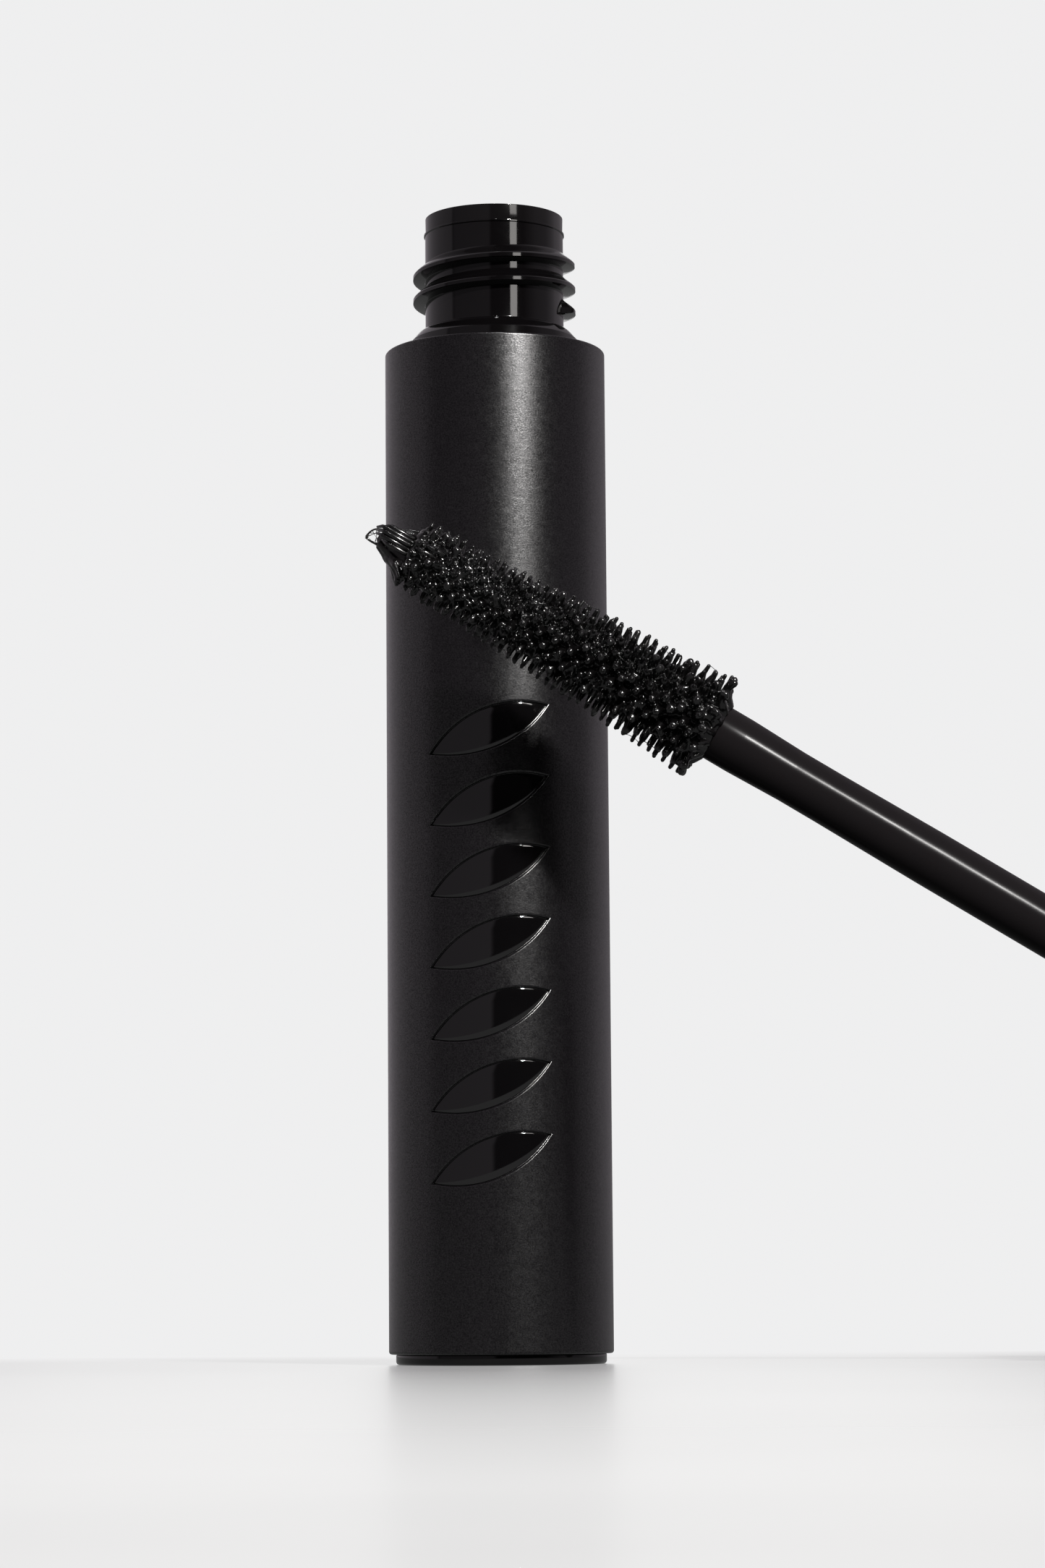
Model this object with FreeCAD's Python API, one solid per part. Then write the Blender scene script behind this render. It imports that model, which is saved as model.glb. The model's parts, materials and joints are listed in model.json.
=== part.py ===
"""Mascara tube, opened: the tube stands upright and its wand hangs in the air in front of it.

Millimetres, +Z up, origin at the centre of the foot's underside. Every wand piece is
drawn where it sits in the closed mascara, on the tube's own axis, and the wand's
motion is then undone (unscrew, draw out, swing aside) to put it in the rest pose.
"""

import FreeCAD
import Part

import math
import os

V = FreeCAD.Vector
Z_AXIS = V(0, 0, 1)
CENTRE = V(0, 0, 0)

# ---- driving dimensions: the sleeve and its foot ----
SLEEVE_R = 9.5
SLEEVE_TOP = 86.8
SLEEVE_WALL = 0.9
SLEEVE_EDGE = 0.8
SLEEVE_FOOT_EDGE = 0.25
SLEEVE_LIP_BORE = 7.65
SLEEVE_LIP = 1.1
FOOT_R = 8.9
FOOT_H = 0.88
FOOT_CHAMFER = 0.35
SPIGOT_H = 2.0
SPIGOT_WALL = 0.9
LABEL_R = 7.0
LABEL_T = 0.1
GLUE_GAP = 0.05

# ---- bottle, neck and thread ----
BOTTLE_R = 8.4
BOTTLE_BOTTOM = 3.0
BOTTLE_FLOOR = 1.3
BOTTLE_WALL = 1.4
BOTTLE_SHOULDER = 85.6
BOTTLE_HEEL = 1.0
SHOULDER_SLOPE = 3.0
FLANGE_R = 7.45
FLANGE_TOP = 88.9
FLANGE_ROUND = 1.1
NECK_R = 6.0
NECK_BORE_R = 4.9
NECK_BORE_FOOT = 83.5
NECK_TOP = 97.4
THREAD_PITCH = 2.05
THREAD_R = 7.05
THREAD_ROOTED = 0.3
THREAD_START_DEG = -12.0
THREAD_END_DEG = 765.0
THREAD_Z = 90.45
CREST_HALF = 0.17
LOAD_FLANK = 0.21
LEAD_FLANK = 0.89

# ---- wiper ----
WIPER_FLANGE_R = 5.9
WIPER_TOP = 98.78
WIPER_EDGE = 0.25
WIPER_SKIRT_R = 4.88
WIPER_SKIRT_WALL = 0.55
WIPER_LIP_Z = 87.0
WIPER_CONE_H = 3.6
WIPER_BEND_H = 1.0
WIPER_ORIFICE_R = 2.4
WIPER_LIP_T = 0.5

# ---- wand, in its closed place on the tube's axis ----
TIP_Z = 7.0
BRUSH_L = 32.74
STEM_COLLAR_R = 2.34
STEM_COLLAR_L = 2.2
STEM_WAIST_R = 2.2
STEM_WAIST_FROM = 7.0
STEM_WAIST_TO = 10.5
STEM_FULL_FROM = 20.0
STEM_R = 2.28
STEM_HEAD_R = 3.6
STEM_HEAD_H = 1.0
SOCKET_R = 1.12
SOCKET_DEPTH = 7.0
SPIGOT_R = 1.1
SPIGOT_L = 6.8
CORE_BASE_R = 1.5
CORE_TIP_R = 1.0
CORE_NOSE_FROM = 1.2
CORE_NOSE_TO = 2.4
CORE_END_TAPER = 1.0
CORE_END_STEP = 0.2
FIN_T = 0.42
FIN_STEP = 1.5
FIN_FIRST = 4.2
FIN_LAST_GAP = 0.5
FIN_SUNK = 0.1
FIN_TEETH = 12
TOOTH_ROOT = 0.44
TOOTH_TIP = 0.34
TAIL_L = 2.2
TAIL_R = 0.4
TAIL_END_R = 0.08

# radius of the ring of bristle ends, and of the wet paste, at distances from the brush's tip
BRISTLE_REACH = [(4.2, 2.95), (10.0, 3.25), (20.0, 3.85), (28.0, 4.2), (32.0, 4.6)]
PASTE_REACH = [(0.0, 0.3), (1.2, 1.2), (4.0, 1.9), (8.0, 2.25), (16.0, 2.5), (26.0, 2.9)]
PASTE_END = (32.4, 3.2)

# ---- cap ----
CAP_MOUTH_Z = 87.2
CAP_TOP_Z = 120.8
CAP_WALL = 0.95
CAP_TOP_WALL = 1.2
CAP_UPPER_BORE = 7.8
LINER_MOUTH_Z = 89.3
LINER_BORE = 7.2
LINER_R = 8.5
CHAMBER_R = 7.75
CHAMBER_Z = 95.65
CEILING_Z = 99.7
CEILING_T = 1.3
CAP_THREAD_START_DEG = 232.0
CAP_THREAD_TURNS = 0.95
CAP_THREAD_CREST_R = 6.15
CAP_THREAD_ROOTED = 0.2
STEM_HOLE_GAP = 0.01
THREAD_GAP = 0.1
LEAD_GAP = 0.14
GASKET_R = 7.6
GASKET_BORE = 2.42
GASKET_T = 0.85
GASKET_REST = 0.02
WEIGHT_R = 8.45
WEIGHT_BORE = 3.7
WEIGHT_H = 9.9
WEIGHT_GAP = 0.1
WEIGHT_EDGE = 0.4

# ---- paste in the bottle, with the channel that the wand leaves ----
PASTE_TOP = 62.0
PASTE_GAP = 0.02
BRUSH_CHANNEL_R = 4.75
STEM_CHANNEL_R = 2.6
TIP_CHANNEL_R = 1.5
CHANNEL_GAP = 1.2
CHANNEL_TAPER = 2.0

# ---- decoration: a column of sunk leaves on the sleeve's front, with gloss inlays ----
LEAF_COUNT = 7
LEAF_FIRST_Z = 17.0
LEAF_STEP = 6.0
LEAF_X = -0.75
LEAF_L = 10.6
LEAF_W = 3.4
LEAF_TILT_DEG = 22.0
LEAF_DEPTH = 0.28
INLAY_T = 0.08
INLAY_INSET = 0.05

# ---- the wand's motion, from the rest pose to the closed mascara ----
REST_TIP = V(-10.27, -22.0, 67.78)
REST_DROOP_DEG = 31.2
HOVER_TIP = V(0, 0, 119.4)
TURN_DEG = 540.0
RISE = THREAD_PITCH * TURN_DEG / 360.0
INSERT = HOVER_TIP.z - TIP_Z - RISE


# ---- where the wand is at rest ----
def wand_direction():
    """Unit vector from the brush's tip towards the cap, in the rest pose."""
    droop = math.radians(REST_DROOP_DEG)
    return V(math.cos(droop), 0, -math.sin(droop))


def swing():
    """(axis, pivot, degrees) of the one hinge that carries the resting wand to the hover."""
    direction = wand_direction()
    travel = HOVER_TIP - REST_TIP
    axis = travel.cross(Z_AXIS - direction).normalize()
    across_from = direction - axis * direction.dot(axis)
    across_to = Z_AXIS - axis * Z_AXIS.dot(axis)
    angle = math.atan2(axis.dot(across_from.cross(across_to)), across_from.dot(across_to))
    middle = (REST_TIP + HOVER_TIP) * 0.5
    pivot = middle + axis.cross(travel) * (0.5 / math.tan(angle / 2))
    return axis, pivot, math.degrees(angle)


def from_closed(shape, drawn_out, turned_deg):
    """The shape, drawn in the closed mascara, taken to its place in the rest pose."""
    axis, pivot, angle = swing()
    unscrew = FreeCAD.Placement(CENTRE, FreeCAD.Rotation(Z_AXIS, turned_deg))
    draw_out = FreeCAD.Placement(V(0, 0, drawn_out), FreeCAD.Rotation())
    swing_aside = FreeCAD.Placement(CENTRE, FreeCAD.Rotation(axis, -angle), pivot)
    place = swing_aside.multiply(draw_out).multiply(unscrew)
    rested = shape.copy()
    rested.Placement = place.multiply(rested.Placement)
    return rested


# ---- drawing helpers ----
def lathe(*outline):
    """Solid of revolution about Z. A point is (r, z), and an arc is ((r, z) midway, (r, z) end)."""
    corners = [step if isinstance(step[0], (int, float)) else step[1] for step in outline]
    start = corners[-1]
    edges = []
    for step, corner in zip(outline, corners):
        a, b = V(start[0], 0, start[1]), V(corner[0], 0, corner[1])
        if isinstance(step[0], (int, float)):
            edges.append(Part.makeLine(a, b))
        else:
            edges.append(Part.Arc(a, V(step[0][0], 0, step[0][1]), b).toShape())
        start = corner
    face = Part.Face(Part.Wire(edges))
    return face.revolve(CENTRE, Z_AXIS, 360)


def rounded(r, z, radius, out_r, out_z):
    """Midpoint of the quarter arc that rounds the corner (r, z); the signs point off the corner."""
    bow = radius * (1 - math.sqrt(0.5))
    return (r + out_r * bow, z + out_z * bow)


def ring(inner, outer, low, high):
    return lathe((inner, low), (outer, low), (outer, high), (inner, high))


def disc(radius, low, high):
    return Part.makeCylinder(radius, high - low, V(0, 0, low))


def helical_ridge(section, start_deg, turns):
    """A ridge whose section (r, z from the crest) climbs a right-hand helix from start_deg."""
    helix = Part.Wire(Part.makeHelix(THREAD_PITCH, THREAD_PITCH * turns, THREAD_R))
    points = [V(r, 0, z) for r, z in section]
    wire = Part.makePolygon(points + points[:1])
    ridge = helix.makePipeShell([wire], True, True)
    ridge.rotate(CENTRE, Z_AXIS, start_deg)
    ridge.translate(V(0, 0, THREAD_Z + THREAD_PITCH * start_deg / 360.0))
    return ridge


def blend_radius(table, distance):
    """Radius at a distance from the brush's tip, straight between the table's entries."""
    for (s0, r0), (s1, r1) in zip(table, table[1:]):
        if distance <= s1:
            share = max(0.0, (distance - s0) / (s1 - s0))
            return r0 + (r1 - r0) * share
    return table[-1][1]


# ---- the tube ----
def leaf_prisms(inset):
    """Leaf outlines, two arcs each, pushed straight back through the sleeve's front."""
    half_l = LEAF_L / 2 - 2 * inset
    half_w = LEAF_W / 2 - inset
    leaves = []
    for k in range(LEAF_COUNT):
        upper = Part.Arc(V(-half_l, 0, 0), V(0, 0, half_w), V(half_l, 0, 0)).toShape()
        lower = Part.Arc(V(half_l, 0, 0), V(0, 0, -half_w), V(-half_l, 0, 0)).toShape()
        leaf = Part.Face(Part.Wire([upper, lower])).extrude(V(0, -SLEEVE_R, 0))
        leaf.rotate(CENTRE, V(0, 1, 0), -LEAF_TILT_DEG)
        leaf.translate(V(LEAF_X, -SLEEVE_R / 2, LEAF_FIRST_Z + k * LEAF_STEP))
        leaves.append(leaf)
    return leaves


def outer_sleeve():
    bore = SLEEVE_R - SLEEVE_WALL
    edge, foot_edge = SLEEVE_EDGE, SLEEVE_FOOT_EDGE
    shell = lathe(
        (bore, FOOT_H),
        (SLEEVE_R - foot_edge, FOOT_H),
        (SLEEVE_R, FOOT_H + foot_edge),
        (SLEEVE_R, SLEEVE_TOP - edge),
        (rounded(SLEEVE_R, SLEEVE_TOP, edge, -1, -1), (SLEEVE_R - edge, SLEEVE_TOP)),
        (SLEEVE_LIP_BORE, SLEEVE_TOP),
        (SLEEVE_LIP_BORE, SLEEVE_TOP - SLEEVE_LIP),
        (bore, SLEEVE_TOP - SLEEVE_LIP),
    )
    low, high = FOOT_H, SLEEVE_TOP
    skin = ring(SLEEVE_R - LEAF_DEPTH, 2 * SLEEVE_R, low, high)
    return shell.cut(Part.makeCompound([skin.common(leaf) for leaf in leaf_prisms(0)]))


def motif_inlay():
    floor = SLEEVE_R - LEAF_DEPTH
    skin = ring(floor, floor + INLAY_T, FOOT_H, SLEEVE_TOP)
    return Part.makeCompound([skin.common(leaf) for leaf in leaf_prisms(INLAY_INSET)])


def foot_plug():
    spigot = SLEEVE_R - SLEEVE_WALL - GLUE_GAP
    return lathe(
        (0, LABEL_T),
        (LABEL_R, LABEL_T),
        (LABEL_R, 0),
        (FOOT_R - FOOT_CHAMFER, 0),
        (FOOT_R, FOOT_CHAMFER),
        (FOOT_R, FOOT_H),
        (spigot, FOOT_H),
        (spigot, FOOT_H + SPIGOT_H),
        (spigot - SPIGOT_WALL, FOOT_H + SPIGOT_H),
        (spigot - SPIGOT_WALL, FOOT_H),
        (0, FOOT_H),
    )


def base_label():
    return disc(LABEL_R, 0, LABEL_T)


def inner_bottle():
    cavity_r = BOTTLE_R - BOTTLE_WALL
    shoulder_in = BOTTLE_SHOULDER - BOTTLE_WALL
    spigot_in = SLEEVE_R - SLEEVE_WALL - GLUE_GAP - SPIGOT_WALL
    body = lathe(
        (0, BOTTLE_BOTTOM),
        (spigot_in - 2 * GLUE_GAP, BOTTLE_BOTTOM),
        (BOTTLE_R, BOTTLE_BOTTOM + BOTTLE_HEEL),
        (BOTTLE_R, BOTTLE_SHOULDER),
        (FLANGE_R, BOTTLE_SHOULDER),
        (FLANGE_R, FLANGE_TOP - FLANGE_ROUND),
        (
            rounded(FLANGE_R, FLANGE_TOP, FLANGE_ROUND, -1, -1),
            (FLANGE_R - FLANGE_ROUND, FLANGE_TOP),
        ),
        (NECK_R, FLANGE_TOP),
        (NECK_R, NECK_TOP),
        (NECK_BORE_R, NECK_TOP),
        (NECK_BORE_R, NECK_BORE_FOOT),
        (cavity_r, shoulder_in - SHOULDER_SLOPE),
        (cavity_r, BOTTLE_BOTTOM + BOTTLE_FLOOR),
        (0, BOTTLE_BOTTOM + BOTTLE_FLOOR),
    )
    root_r = NECK_R - THREAD_ROOTED
    slope = (THREAD_R - root_r) / (THREAD_R - NECK_R)
    section = [
        (root_r, -CREST_HALF - LOAD_FLANK * slope),
        (THREAD_R, -CREST_HALF),
        (THREAD_R, CREST_HALF),
        (root_r, CREST_HALF + LEAD_FLANK * slope),
    ]
    turns = (THREAD_END_DEG - THREAD_START_DEG) / 360.0
    return body.fuse(helical_ridge(section, THREAD_START_DEG, turns))


def wiper():
    """Flanged insert in the neck: a skirt that narrows to the lip that cleans the stem."""
    inner = WIPER_SKIRT_R - WIPER_SKIRT_WALL
    cone_top = WIPER_LIP_Z + WIPER_CONE_H
    edge = WIPER_EDGE
    lip_r = WIPER_ORIFICE_R + WIPER_LIP_T
    return lathe(
        (WIPER_ORIFICE_R, WIPER_LIP_Z),
        (lip_r, WIPER_LIP_Z),
        (WIPER_SKIRT_R - 2 * GLUE_GAP, cone_top),
        (WIPER_SKIRT_R, cone_top + WIPER_BEND_H),
        (WIPER_SKIRT_R, NECK_TOP),
        (WIPER_FLANGE_R, NECK_TOP),
        (WIPER_FLANGE_R, WIPER_TOP - edge),
        (rounded(WIPER_FLANGE_R, WIPER_TOP, edge, -1, -1), (WIPER_FLANGE_R - edge, WIPER_TOP)),
        (inner, WIPER_TOP),
        (inner, cone_top),
        (WIPER_ORIFICE_R, WIPER_LIP_Z + WIPER_LIP_T),
    )


def paste_fill():
    """Paste that stands in the bottle, with the channel that the closed wand keeps open."""
    outer = BOTTLE_R - BOTTLE_WALL - PASTE_GAP
    low = BOTTLE_BOTTOM + BOTTLE_FLOOR + PASTE_GAP
    brush_top = TIP_Z + BRUSH_L + RISE + CHANNEL_GAP
    tip_low = TIP_Z - CHANNEL_GAP
    return lathe(
        (0, low),
        (outer, low),
        (outer, PASTE_TOP),
        (STEM_CHANNEL_R, PASTE_TOP),
        (STEM_CHANNEL_R, brush_top + CHANNEL_TAPER),
        (BRUSH_CHANNEL_R, brush_top),
        (BRUSH_CHANNEL_R, TIP_Z + CHANNEL_TAPER),
        (TIP_CHANNEL_R, tip_low),
        (0, tip_low),
    )


# ---- the wand, drawn in the closed mascara ----
def stem():
    foot = TIP_Z + BRUSH_L
    head = CEILING_Z + CEILING_T
    return lathe(
        (SOCKET_R, foot),
        (STEM_COLLAR_R, foot),
        (STEM_COLLAR_R, foot + STEM_COLLAR_L),
        (STEM_WAIST_R, foot + STEM_WAIST_FROM),
        (STEM_WAIST_R, foot + STEM_WAIST_TO),
        (STEM_R, foot + STEM_FULL_FROM),
        (STEM_R, head),
        (STEM_HEAD_R, head),
        (STEM_HEAD_R, head + STEM_HEAD_H),
        (0, head + STEM_HEAD_H),
        (0, foot + SOCKET_DEPTH),
        (SOCKET_R, foot + SOCKET_DEPTH),
    )


def bristle_ring(distance, half_step):
    """One ring of tapered bristles standing out of the core, as a star-shaped plate."""
    reach = blend_radius(BRISTLE_REACH, distance)
    root = CORE_TIP_R - FIN_SUNK
    half_root = TOOTH_ROOT / 2
    points = []
    for k in range(FIN_TEETH):
        angle = 2 * math.pi * (k + half_step) / FIN_TEETH
        out = V(math.cos(angle), math.sin(angle), 0)
        side = V(-math.sin(angle), math.cos(angle), 0)
        points += [
            out * root - side * half_root,
            out * reach - side * TOOTH_TIP / 2,
            out * reach + side * TOOTH_TIP / 2,
            out * root + side * half_root,
        ]
    plate = Part.Face(Part.makePolygon(points + points[:1])).extrude(V(0, 0, FIN_T))
    plate.translate(V(0, 0, TIP_Z + distance - FIN_T / 2))
    return plate


def brush():
    foot = TIP_Z + BRUSH_L
    core = lathe(
        (0, TIP_Z + CORE_NOSE_FROM),
        (CORE_TIP_R / 2, TIP_Z + CORE_NOSE_FROM),
        (CORE_TIP_R, TIP_Z + CORE_NOSE_TO),
        (CORE_BASE_R, foot - CORE_END_TAPER),
        (STEM_R - CORE_END_STEP, foot),
        (SPIGOT_R, foot),
        (SPIGOT_R, foot + SPIGOT_L),
        (0, foot + SPIGOT_L),
    )
    count = int((BRUSH_L - FIN_FIRST - FIN_LAST_GAP) / FIN_STEP) + 1
    rings = [bristle_ring(FIN_FIRST + k * FIN_STEP, (k % 2) / 2) for k in range(count)]
    return core.multiFuse(rings)


def paste_coat(bristles):
    """Wet paste that fills the bristles' roots and comes to a soft cone at the tip."""
    outline = [(r, TIP_Z + s) for s, r in PASTE_REACH]
    end_r, end_z = PASTE_END[1], TIP_Z + PASTE_END[0]
    coat = lathe((0, TIP_Z), *outline, (end_r, end_z), (0, end_z))
    return coat.cut(bristles)


def paste_tail():
    """Thread of paste that hangs off the tip of the drawn brush."""
    return Part.makeCone(TAIL_END_R, TAIL_R, TAIL_L, V(0, 0, TIP_Z - TAIL_L - PASTE_GAP))


def cap_shell():
    bore = SLEEVE_R - CAP_WALL
    step_z = weight_low() + WEIGHT_H + WEIGHT_GAP
    edge, foot_edge = SLEEVE_EDGE, SLEEVE_FOOT_EDGE
    ceiling = CAP_TOP_Z - CAP_TOP_WALL
    return lathe(
        (bore, CAP_MOUTH_Z),
        (SLEEVE_R - foot_edge, CAP_MOUTH_Z),
        (SLEEVE_R, CAP_MOUTH_Z + foot_edge),
        (SLEEVE_R, CAP_TOP_Z - edge),
        (rounded(SLEEVE_R, CAP_TOP_Z, edge, -1, -1), (SLEEVE_R - edge, CAP_TOP_Z)),
        (0, CAP_TOP_Z),
        (0, ceiling),
        (CAP_UPPER_BORE, ceiling),
        (CAP_UPPER_BORE, step_z),
        (bore, step_z),
    )


def cap_liner():
    """Inner cap that carries the thread, the sealing washer's chamber and the stem."""
    top = CEILING_Z + CEILING_T
    stem_hole = STEM_R + STEM_HOLE_GAP
    body = lathe(
        (LINER_BORE, LINER_MOUTH_Z),
        (LINER_R, LINER_MOUTH_Z),
        (LINER_R, top),
        (stem_hole, top),
        (stem_hole, CEILING_Z),
        (CHAMBER_R, CEILING_Z),
        (CHAMBER_R, CHAMBER_Z),
        (LINER_BORE, CHAMBER_Z),
    )
    depth = THREAD_R - NECK_R
    load, lead = LOAD_FLANK / depth, LEAD_FLANK / depth
    crest, root = CAP_THREAD_CREST_R, LINER_BORE + CAP_THREAD_ROOTED
    load_top = -CREST_HALF - THREAD_GAP
    lead_top = CREST_HALF + LEAD_GAP - THREAD_PITCH
    section = [
        (crest, load_top - load * (THREAD_R - crest)),
        (root, load_top - load * (THREAD_R - root)),
        (root, lead_top + lead * (THREAD_R - root)),
        (crest, lead_top + lead * (THREAD_R - crest)),
    ]
    return body.fuse(helical_ridge(section, CAP_THREAD_START_DEG, CAP_THREAD_TURNS))


def gasket():
    low = WIPER_TOP + GASKET_REST
    return ring(GASKET_BORE, GASKET_R, low, low + GASKET_T)


def weight_low():
    return CEILING_Z + CEILING_T + GLUE_GAP


def cap_weight():
    low, high, edge = weight_low(), weight_low() + WEIGHT_H, WEIGHT_EDGE
    return lathe(
        (WEIGHT_BORE, low),
        (WEIGHT_R - edge, low),
        (WEIGHT_R, low + edge),
        (WEIGHT_R, high - edge),
        (WEIGHT_R - edge, high),
        (WEIGHT_BORE, high),
    )


def subparts():
    """Every node's solid in the rest pose."""
    bristles = brush()
    closed_wand = {
        "stem": stem(),
        "brush": bristles,
        "paste_coat": paste_coat(bristles),
        "cap_shell": cap_shell(),
        "cap_liner": cap_liner(),
    }
    nodes = {
        "foot_plug": foot_plug(),
        "base_label": base_label(),
        "outer_sleeve": outer_sleeve(),
        "motif_inlay": motif_inlay(),
        "inner_bottle": inner_bottle(),
        "wiper": wiper(),
        "paste_fill": paste_fill(),
        "paste_tail": from_closed(paste_tail(), INSERT + RISE, 0),
        "gasket": from_closed(gasket(), INSERT, 0),
        "cap_weight": from_closed(cap_weight(), INSERT + RISE, 0),
    }
    for name, shape in closed_wand.items():
        nodes[name] = from_closed(shape, INSERT + RISE, TURN_DEG)
    return nodes


def main():
    os.makedirs("parts", exist_ok=True)
    for name, shape in subparts().items():
        shape.exportStep(f"parts/{name}.step")


main()
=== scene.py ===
"""Looks of the opened mascara tube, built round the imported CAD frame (metres, Z up).

Round pieces are drawn in millimetres about their own axis: the tube's pieces about the
world's Z, the wand's pieces about the wand's axis, with their zero at the brush's tip.
"""

import json
import math

import bmesh
import bpy
import numpy as np
from mathutils import Matrix, Vector


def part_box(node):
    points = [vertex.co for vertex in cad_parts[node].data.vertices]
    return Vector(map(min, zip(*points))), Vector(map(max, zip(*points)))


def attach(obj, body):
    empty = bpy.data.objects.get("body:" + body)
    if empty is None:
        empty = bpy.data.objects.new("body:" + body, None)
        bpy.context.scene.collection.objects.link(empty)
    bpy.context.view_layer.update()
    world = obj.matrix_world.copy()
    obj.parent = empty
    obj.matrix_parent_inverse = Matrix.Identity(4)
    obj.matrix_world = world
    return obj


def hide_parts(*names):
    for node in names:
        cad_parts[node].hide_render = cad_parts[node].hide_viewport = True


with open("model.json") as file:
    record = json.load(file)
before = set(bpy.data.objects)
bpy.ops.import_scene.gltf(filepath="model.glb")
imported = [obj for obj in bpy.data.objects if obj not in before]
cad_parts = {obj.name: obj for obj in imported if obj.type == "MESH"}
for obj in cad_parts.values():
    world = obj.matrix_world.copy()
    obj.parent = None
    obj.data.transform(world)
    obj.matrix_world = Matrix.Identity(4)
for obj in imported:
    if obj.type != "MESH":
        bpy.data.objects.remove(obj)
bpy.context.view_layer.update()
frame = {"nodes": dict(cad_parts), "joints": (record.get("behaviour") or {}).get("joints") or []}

MM = 0.001
SEGMENTS, NECK_SEGMENTS, LINER_SEGMENTS = 192, 288, 240
ARC_STEPS_LEAST, ARC_STEPS_PER_RADIAN = 4, 6
WELD_M, NO_AREA_M = 1e-7, 1e-8
ON_CYLINDER_MM = 1e-4
rng = np.random.default_rng(7)


# ---------------------------------------------------------------- the two axes
def node_z(node):
    """Lowest and highest Z of a CAD node, in millimetres."""
    low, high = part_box(node)
    return low.z / MM, high.z / MM


turn_joint = next(j for j in frame["joints"] if j["name"] == "cap_turn")
tip = Vector(turn_joint["pos_m"])
along = -Vector(turn_joint["axis"]).normalized()
front = Vector((0, -1, 0))
above = front.cross(along)
WAND = Matrix.Translation(tip) @ Matrix((above, front, along)).transposed().to_4x4()
TUBE = Matrix.Identity(4)


def wand_span(node):
    """Nearest and farthest distance of a CAD node from the brush's tip, in millimetres."""
    s = [(v.co - tip).dot(along) / MM for v in frame["nodes"][node].data.vertices]
    return min(s), max(s)


# ---------------------------------------------------------------- curves
def unit(t):
    return min(1.0, max(0.0, t))


def smooth(t):
    """Rises from 0 to 1 as t does, with a soft start and a soft end."""
    t = unit(t)
    return t * t * (3 - 2 * t)


def table(rows, s):
    """The second column of (distance, value) rows at a distance, straight between the rows."""
    return float(np.interp(s, [r[0] for r in rows], [r[1] for r in rows]))


# ---------------------------------------------------------------- mesh helpers
def add_piece(name, points, faces, axis, body, slot, material, crease, hides=()):
    """A shaded piece from points in millimetres about an axis, riding on a CAD body."""
    mesh = bpy.data.meshes.new(name)
    mesh.from_pydata([axis @ (Vector(p) * MM) for p in points], [], faces)
    return finish_piece(name, mesh, body, material, crease, hides)


def finish_piece(name, mesh, body, material, crease, hides=()):
    """Makes a piece of a mesh in metres; edges sharper than crease degrees stay sharp."""
    clean_up(mesh)
    mesh.polygons.foreach_set("use_smooth", [True] * len(mesh.polygons))
    mesh.set_sharp_from_angle(angle=math.radians(crease))
    piece = bpy.data.objects.new(name, mesh)
    bpy.context.scene.collection.objects.link(piece)
    mesh.materials.append(material)
    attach(piece, body)
    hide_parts(*hides)
    return piece


def clean_up(mesh):
    """Welds doubled points, drops faces without area and turns every face outwards."""
    bm = bmesh.new()
    bm.from_mesh(mesh)
    bmesh.ops.remove_doubles(bm, verts=bm.verts, dist=WELD_M)
    bmesh.ops.dissolve_degenerate(bm, edges=bm.edges, dist=NO_AREA_M)
    bmesh.ops.recalc_face_normals(bm, faces=bm.faces)
    bm.to_mesh(mesh)
    bm.free()


def outline(*corners, closed=True):
    """Polyline through (r, z) corners; a corner (r, z, f) is rounded with radius f."""
    path = []
    count = len(corners)
    for i, corner in enumerate(corners):
        here = np.array(corner[:2], float)
        if len(corner) < 3 or (not closed and i in (0, count - 1)):
            path.append(tuple(here))
            continue
        before = np.array(corners[i - 1][:2], float) - here
        after = np.array(corners[(i + 1) % count][:2], float) - here
        u, v = before / np.linalg.norm(before), after / np.linalg.norm(after)
        half = math.acos(float(np.clip(u @ v, -1, 1))) / 2
        reach = corner[2] / math.tan(half)
        middle = here + (u + v) / np.linalg.norm(u + v) * corner[2] / math.sin(half)
        start, end = here + u * reach - middle, here + v * reach - middle
        sweep = math.pi - 2 * half
        turn = math.copysign(sweep, start[0] * end[1] - start[1] * end[0])
        steps = max(ARC_STEPS_LEAST, int(sweep * ARC_STEPS_PER_RADIAN))
        for k in range(steps + 1):
            c, s = math.cos(turn * k / steps), math.sin(turn * k / steps)
            path.append((middle[0] + c * start[0] - s * start[1],
                         middle[1] + s * start[0] + c * start[1]))
    return path


def lathe(path, closed=True, segments=SEGMENTS):
    """Points and faces of an outline turned about Z."""
    points, faces = [], []
    for k in range(segments):
        a = 2 * math.pi * k / segments
        points += [(r * math.cos(a), r * math.sin(a), z) for r, z in path]
    n = len(path)
    for k in range(segments):
        a, b = k * n, (k + 1) % segments * n
        for i in range(n if closed else n - 1):
            j = (i + 1) % n
            faces.append((a + i, b + i, b + j, a + j))
    return points, faces


# ---------------------------------------------------------------- materials
def material(name):
    """An empty node material: (material, add(kind, **inputs), link, the surface shader)."""
    mat = bpy.data.materials.new(name)
    mat.use_nodes = True
    tree = mat.node_tree
    tree.nodes.clear()
    out = tree.nodes.new("ShaderNodeOutputMaterial")

    def add(kind, **inputs):
        node = tree.nodes.new("ShaderNode" + kind)
        for key, value in inputs.items():
            label = key.replace("_", " ")
            if label in node.inputs:
                if hasattr(value, "is_output"):
                    tree.links.new(value, node.inputs[label])
                else:
                    node.inputs[label].default_value = value
            else:
                setattr(node, key, value)
        return node

    shader = add("BsdfPrincipled")
    tree.links.new(shader.outputs[0], out.inputs[0])
    return mat, add, tree.links.new, shader


def grey(v):
    return (v, v, v, 1)


def tinted(r, g, b):
    return (r, g, b, 1)


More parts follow.
